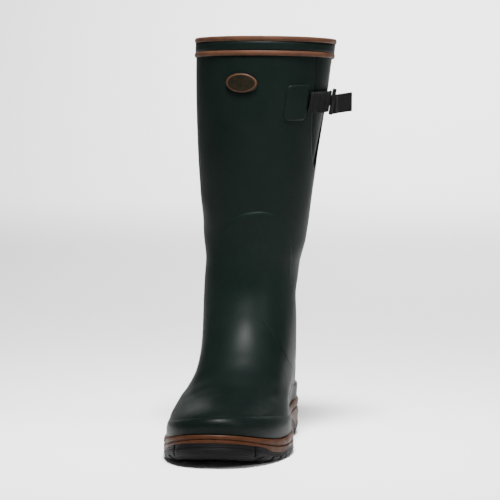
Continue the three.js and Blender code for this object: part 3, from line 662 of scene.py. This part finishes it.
# %% [markdown]
# ## Toe rand, ankle saddle and heel counter
#
# The rand is the thickest and has the softest edge, so the toe looks dipped. The saddle is thin:
# its arched top catches the light as one fine line, its sides melt into the shaft, and its lower
# edge shows only at the outer side. The heel counter has a band at its foot that stands out, a
# ledge for pulling the boot off with the other toe.

# %% Toe rand, ankle saddle and heel counter
rand_rise = 1.0 * mm
saddle_rise = 0.75 * mm
saddle_hidden = -0.3 * mm
saddle_arch_z = 232 * mm
counter_rise = 0.5 * mm
kick_rise = 2.4 * mm
kick_top = 52 * mm


def rand_height(place):
    return rand_rise


def saddle_height(place):
    arch = smooth_share((place.z - saddle_arch_z + 45 * mm) / (35 * mm))
    front = smooth_share(1.25 - abs(place.x) / (40 * mm))
    outer_side = 0.6 * smooth_share((place.x - 5 * mm) / (25 * mm)) * (1 - arch)
    return saddle_hidden + (saddle_rise - saddle_hidden) * max(arch * front, outer_side)


def counter_height(place):
    band = 1 - smooth_share((place.z - kick_top) / (2.5 * mm) + 0.5)
    behind = smooth_share((place.y + 38 * mm) / (22 * mm))
    return counter_rise + (kick_rise - counter_rise) * band * behind


toe_rand = lay_flush("toe_rand", "rubber_toe_rand", rand_height, 7 * mm)
ankle_saddle = lay_flush("ankle_saddle", "rubber_ankle_saddle", saddle_height, 2.6 * mm)
heel_counter = lay_flush("heel_counter", "rubber_heel_counter", counter_height, 2.6 * mm)

# %% [markdown]
# ## Collar
#
# Round the collar run a brown bead, a green band and a second brown bead. The beads are rolled
# strips with a rounded back, so their copies are smoothed with no creases at all. The band is a
# flat strip that keeps its edges.

# %% Collar beads and band
def smooth_copy(node, name, finish, slot, levels=2, steep=None, weight=1.0):
    form = quads_of(node)
    if steep is not None:
        crease_steep_edges(form, math.radians(steep), weight)
    piece = piece_from(form, name, [finish])
    subdivide(piece, levels)
    piece.data.shade_smooth()
    set_piece(piece, slot, node)
    return piece


upper_bead = smooth_copy("collar_trim_upper", "collar_bead_upper", brown_rubber, "brown_rubber")
lower_bead = smooth_copy("collar_trim_lower", "collar_bead_lower", brown_rubber, "brown_rubber")
collar_band = smooth_copy("collar_band", "collar_strip", green_rubber, "green_rubber", 2, 48)

# %% [markdown]
# ## Gusset and tabs
#
# The gusset is a soft panel behind the slit. The two tabs that hold strap and buckle are patches
# of the boot's own rubber, bonded to the shaft. They're laid on the skin like the overlays, but
# their edges are cut, so they stay upright and only lose their sharpness.

# %% Gusset and tabs
tab_rise = 1.5 * mm
tab_edge = 0.85 * mm
gusset = smooth_copy("gusset", "rubber_gusset", green_rubber, "green_rubber", 2, 60)


def tab_height(place):
    return tab_rise


for side in ("front", "rear"):
    lay_flush(f"strap_tab_{side}", f"rubber_tab_{side}", tab_height, 1.4 * mm, tab_edge, 3)

# %% [markdown]
# ## Webbing strap
#
# The strap is nylon webbing with ribs across it, and they show as fine upright bars even from
# some metres away. The copy of the strap is cut into many narrow columns by subdividing its long
# edges, and each column is raised or lowered by a wave. Its UV map is laid along the strap, so
# the weave follows it.

# %% Webbing strap
rib_pitch = 2.5 * mm
rib_depth = 0.28 * mm
strap_radius = 66 * mm
strap_axis_y = -22 * mm


def along_strap(place):
    return strap_radius * math.atan2(place.x, -(place.y - strap_axis_y))


def add_weave_map(form, measure):
    weave = form.loops.layers.uv.new("weave")
    for face in form.faces:
        for loop in face.loops:
            loop[weave].uv = (measure(loop.vert.co), loop.vert.co.z)


strap_form = quads_of("strap")
crease_steep_edges(strap_form, math.radians(60))
strap = piece_from(strap_form, "webbing_strap", [webbing])
subdivide(strap, 2)
strap_form = bmesh.new()
strap_form.from_mesh(strap.data)
long_edges = []
for e in strap_form.edges:
    run = e.verts[1].co - e.verts[0].co
    if abs(run.z) < 0.5 * run.length and run.length > 1.2 * mm:
        long_edges.append(e)
bmesh.ops.subdivide_edges(strap_form, edges=long_edges, cuts=5, use_grid_fill=True)
strap_form.normal_update()
moves = []
for vert in strap_form.verts:
    wave = math.cos(2 * math.pi * along_strap(vert.co) / rib_pitch)
    moves.append((vert, vert.normal * rib_depth * wave))
for vert, move in moves:
    vert.co += move
add_weave_map(strap_form, along_strap)
strap_form.to_mesh(strap.data)
strap_form.free()
strap.data.shade_smooth()
set_piece(strap, "black_webbing", "strap")
print(f"ribs every {rib_pitch / mm} mm along the strap")

# %% [markdown]
# ## Buckle
#
# The slide buckle is one moulding: a frame with two slots and a bar between them. Its copy gets
# rounded edges from a Bevel modifier, as thin plastic always has.

# %% Buckle
buckle_form = quads_of("buckle")
bmesh.ops.dissolve_limit(
    buckle_form, angle_limit=math.radians(2), verts=buckle_form.verts, edges=buckle_form.edges,
)
widest = max(buckle_form.faces, key=lambda face: face.calc_area() * (face.normal.x > 0.5))
outward = widest.normal.copy()
buckle_face = widest.calc_center_median()
backward = Vector((-outward.y, outward.x, 0)).normalized()
buckle = piece_from(buckle_form, "slide_buckle", [black_plastic])
soften_edges(buckle, 0.7 * mm, 35, 3)
apply_modifiers(buckle)
buckle.data.shade_smooth()
set_piece(buckle, "black_plastic", "buckle")
print("buckle faces", [round(value, 2) for value in outward])

# %% [markdown]
# ## Loose end of the strap
#
# The end comes up through one slot, turns over the middle bar and springs away from the shaft.
# It's a strip drawn as a path in the buckle's own directions, a little upward on its way out: a
# row of points is extruded across the webbing, then Solidify gives it its thickness.

# %% Loose end of the strap
tail_path = [
    # backward along the strap and outward from the buckle's face, in millimetres
    (-4.3, -4.4), (-4.3, -1.0), (-3.9, 1.0), (-2.4, 2.1), (0.0, 2.4), (2.2, 3.6), (3.9, 6.4),
    (5.4, 9.6), (6.8, 12.8), (8.0, 15.8), (8.9, 18.6),
]
tail_width = 19 * mm
tail_wall = 1.6 * mm
tail_form = bmesh.new()
tail_lift = Vector((0, 0, 0.3))
spots = [buckle_face + backward * (x * mm) + (outward + tail_lift) * (z * mm) for x, z in tail_path]
row = [tail_form.verts.new(spot - Vector((0, 0, tail_width / 2))) for spot in spots]
edges = [tail_form.edges.new(pair) for pair in zip(row, row[1:])]
grown = bmesh.ops.extrude_edge_only(tail_form, edges=edges)["geom"]
grown_verts = [part for part in grown if isinstance(part, bmesh.types.BMVert)]
bmesh.ops.translate(tail_form, verts=grown_verts, vec=(0, 0, tail_width))
bmesh.ops.recalc_face_normals(tail_form, faces=tail_form.faces)
run_of = {}
length = 0
for i, spot in enumerate(spots):
    length += (spot - spots[i - 1]).length if i else 0
    run_of[round(spot.x, 5), round(spot.y, 5)] = length
add_weave_map(tail_form, lambda place: run_of[round(place.x, 5), round(place.y, 5)])
strap_tail = piece_from(tail_form, "webbing_end", [webbing])
thicken = strap_tail.modifiers.new("webbing_wall", "SOLIDIFY")
thicken.thickness = tail_wall
thicken.offset = 0
apply_modifiers(strap_tail)
soften_edges(strap_tail, 0.35 * mm, 50, 2)
apply_modifiers(strap_tail)
subdivide(strap_tail, 2)
strap_tail.data.shade_smooth()
set_piece(strap_tail, "black_webbing", "strap_tail")

# %% [markdown]
# ## Badge
#
# The badge is a bare oval: an olive field with a thin raised rim, tilted a little, with nothing
# written on it.

# %% Badge
badge_rim_from = 0.83
badge_rim_to = 0.92
badge_form = quads_of("badge")
low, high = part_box("badge")
middle = (low + high) / 2
half = (high - low) / 2
badge = piece_from(badge_form, "oval_badge", [olive_rubber, brown_rubber])
subdivide(badge, 3)
for face in badge.data.polygons:
    across = (face.center.x - middle.x) / half.x
    upward = (face.center.z - middle.z) / half.z
    on_rim = badge_rim_from < math.hypot(across, upward) < badge_rim_to
    face.material_index = 1 if on_rim else 0
badge.data.shade_smooth()
set_piece(badge, "olive_rubber", "badge")

# %% [markdown]
# ## Midsole
#
# The brown sidewall has a groove along it, and level ribs at the back of the heel. Its copy keeps
# the lines of groove and ledge by full creases on its steeper edges, so the subdivision leaves them
# sharp. The ribs are a wave in height that fades away along the sides.

# %% Midsole
heel_rib_pitch = 4.2 * mm
heel_rib_depth = 0.55 * mm
midsole = smooth_copy("midsole", "brown_midsole", brown_rubber, "brown_rubber", 3, 30)


def press_ribs(piece, pitch, depth, fade_from, fade_to):
    sideways = [Vector((vert.normal.x, vert.normal.y, 0)) for vert in piece.data.vertices]
    for vert, way in zip(piece.data.vertices, sideways):
        share = smooth_share((vert.co.y - fade_from) / (fade_to - fade_from))
        vert.co += way * depth * share * math.cos(2 * math.pi * vert.co.z / pitch)


press_ribs(midsole, heel_rib_pitch, heel_rib_depth, 2 * mm, 24 * mm)
midsole.data.shade_smooth()

# %% [markdown]
# ## Outsole
#
# The tread sole comes out of a steel mould, so its lugs are flat and its edges are only a little
# worn. Its copy gets its flat faces back by a limited dissolve, and a Bevel modifier rounds the
# edges by half a millimetre, enough to catch the light round the toe.

# %% Outsole
outsole_form = quads_of("outsole")
bmesh.ops.dissolve_limit(
    outsole_form, angle_limit=math.radians(1.5),
    verts=outsole_form.verts, edges=outsole_form.edges,
)
outsole = piece_from(outsole_form, "tread_sole", [black_rubber])
soften_edges(outsole, 0.5 * mm, 32, 2)
apply_modifiers(outsole)
outsole.data.shade_smooth()
sharp_edges = bmesh.new()
sharp_edges.from_mesh(outsole.data)
for e in sharp_edges.edges:
    e.smooth = len(e.link_faces) == 2 and e.calc_face_angle() < math.radians(38)
sharp_edges.to_mesh(outsole.data)
sharp_edges.free()
set_piece(outsole, "black_rubber", "outsole")

# %% [markdown]
# ## Insole
#
# The sock inside is a plain pad. It's seen only from above, down the shaft.

# %% Insole
insole = smooth_copy("insole", "sock_insole", sock_lining, "sock_lining", 1, 40)
